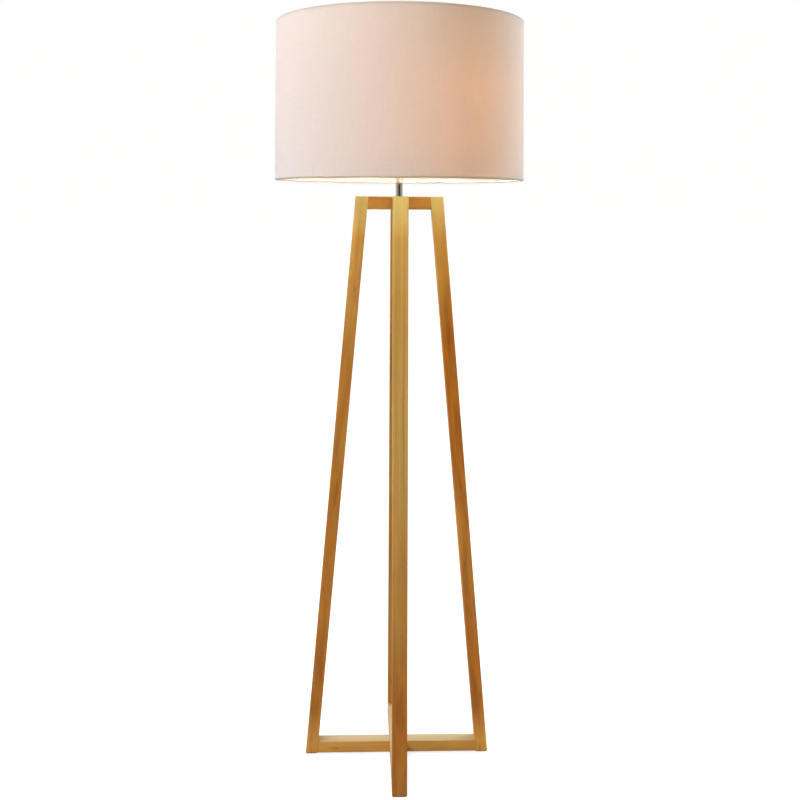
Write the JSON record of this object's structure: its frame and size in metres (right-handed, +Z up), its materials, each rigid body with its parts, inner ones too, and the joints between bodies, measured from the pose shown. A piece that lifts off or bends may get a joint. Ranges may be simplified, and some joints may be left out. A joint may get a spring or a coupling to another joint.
{
  "type": "floor lamp",
  "caption": "Wooden floor lamp: crossed trapezoid frames carry a short polished post, a lampholder with a rotary switch, a bulb and a slightly tapered fabric drum shade.",
  "frame": {"origin": "on the floor, under the centre of the crossed frames", "axes": "+Z up along the post; the front leg stands towards -Y and one frame lies along X, the other along Y"},
  "size_m": [0.4859, 0.486, 1.5],
  "materials": {
    "oak": "clear satin lacquer",
    "dowel_wood": "bare",
    "felt": "pressed felt",
    "zinc_steel": "zinc plated",
    "black_plastic": "moulded",
    "polished_metal": "mirror polished",
    "holder_plastic": "moulded, semi-gloss",
    "ceramic": "unglazed",
    "brass": "bright",
    "switch_plastic": "moulded",
    "spindle_steel": "turned",
    "shade_cloth": "fine plain weave",
    "liner_plastic": "satin sheet",
    "white_wire": "powder coated",
    "bulb_nickel": "nickel plated",
    "bulb_body": "moulded",
    "bulb_opal": "opal",
    "board_aluminium": "white coated",
    "led_phosphor": "phosphor"
  },
  "bodies": {
    "stand": {"leg_left": "oak", "leg_right": "oak", "leg_front": "oak", "leg_back": "oak", "top_rail_side": "oak", "top_rail_depth": "oak", "bottom_rail_side": "oak", "bottom_rail_depth": "oak", "top_dowels": "dowel_wood", "bottom_dowels": "dowel_wood", "floor_pads": "felt", "bottom_cross_screw": "zinc_steel", "threaded_tube": "zinc_steel", "tube_washer": "zinc_steel", "tube_nut": "zinc_steel", "cable_outlet_bush": "black_plastic", "post_sleeve": "polished_metal", "holder_cap": "holder_plastic", "holder_grub_screw": "zinc_steel", "holder_skirt": "holder_plastic", "holder_insert": "ceramic", "terminal_screws": "zinc_steel", "socket_shell": "brass", "centre_contact": "brass", "switch_body": "switch_plastic"},
    "shade": {"shade_fabric": "shade_cloth", "shade_top_hem": "shade_cloth", "shade_bottom_hem": "shade_cloth", "shade_liner": "liner_plastic", "shade_bottom_ring": "white_wire", "shade_spokes": "white_wire", "shade_centre_ring": "white_wire", "shade_top_ring": "white_wire"},
    "ring_nut": {"shade_ring_nut": "holder_plastic"},
    "bulb": {"bulb_screw_cap": "bulb_nickel", "bulb_cap_insulator": "black_plastic", "bulb_contact_tip": "bulb_nickel", "bulb_housing": "bulb_body", "bulb_dome": "bulb_opal", "led_board": "board_aluminium", "led_chips": "led_phosphor"},
    "knob": {"switch_spindle": "spindle_steel", "switch_knob": "holder_plastic"}
  },
  "joints": [
    {"name": "shade_turn", "type": "hinge", "parent": "stand", "child": "shade", "pos_m": [0, 0, 1.2425], "axis": [0, 0, 1], "continuous": true},
    {"name": "ring_nut_unscrew", "type": "slide", "parent": "stand", "child": "ring_nut", "axis": [0, 0, 1], "range_m": [0, 0.012]},
    {"name": "bulb_unscrew", "type": "slide", "parent": "stand", "child": "bulb", "axis": [0, 0, 1], "range_m": [0, 0.024]},
    {"name": "switch_turn", "type": "hinge", "parent": "stand", "child": "knob", "pos_m": [0.0195, 0, 1.228], "axis": [1, 0, 0], "continuous": true}
  ]
}
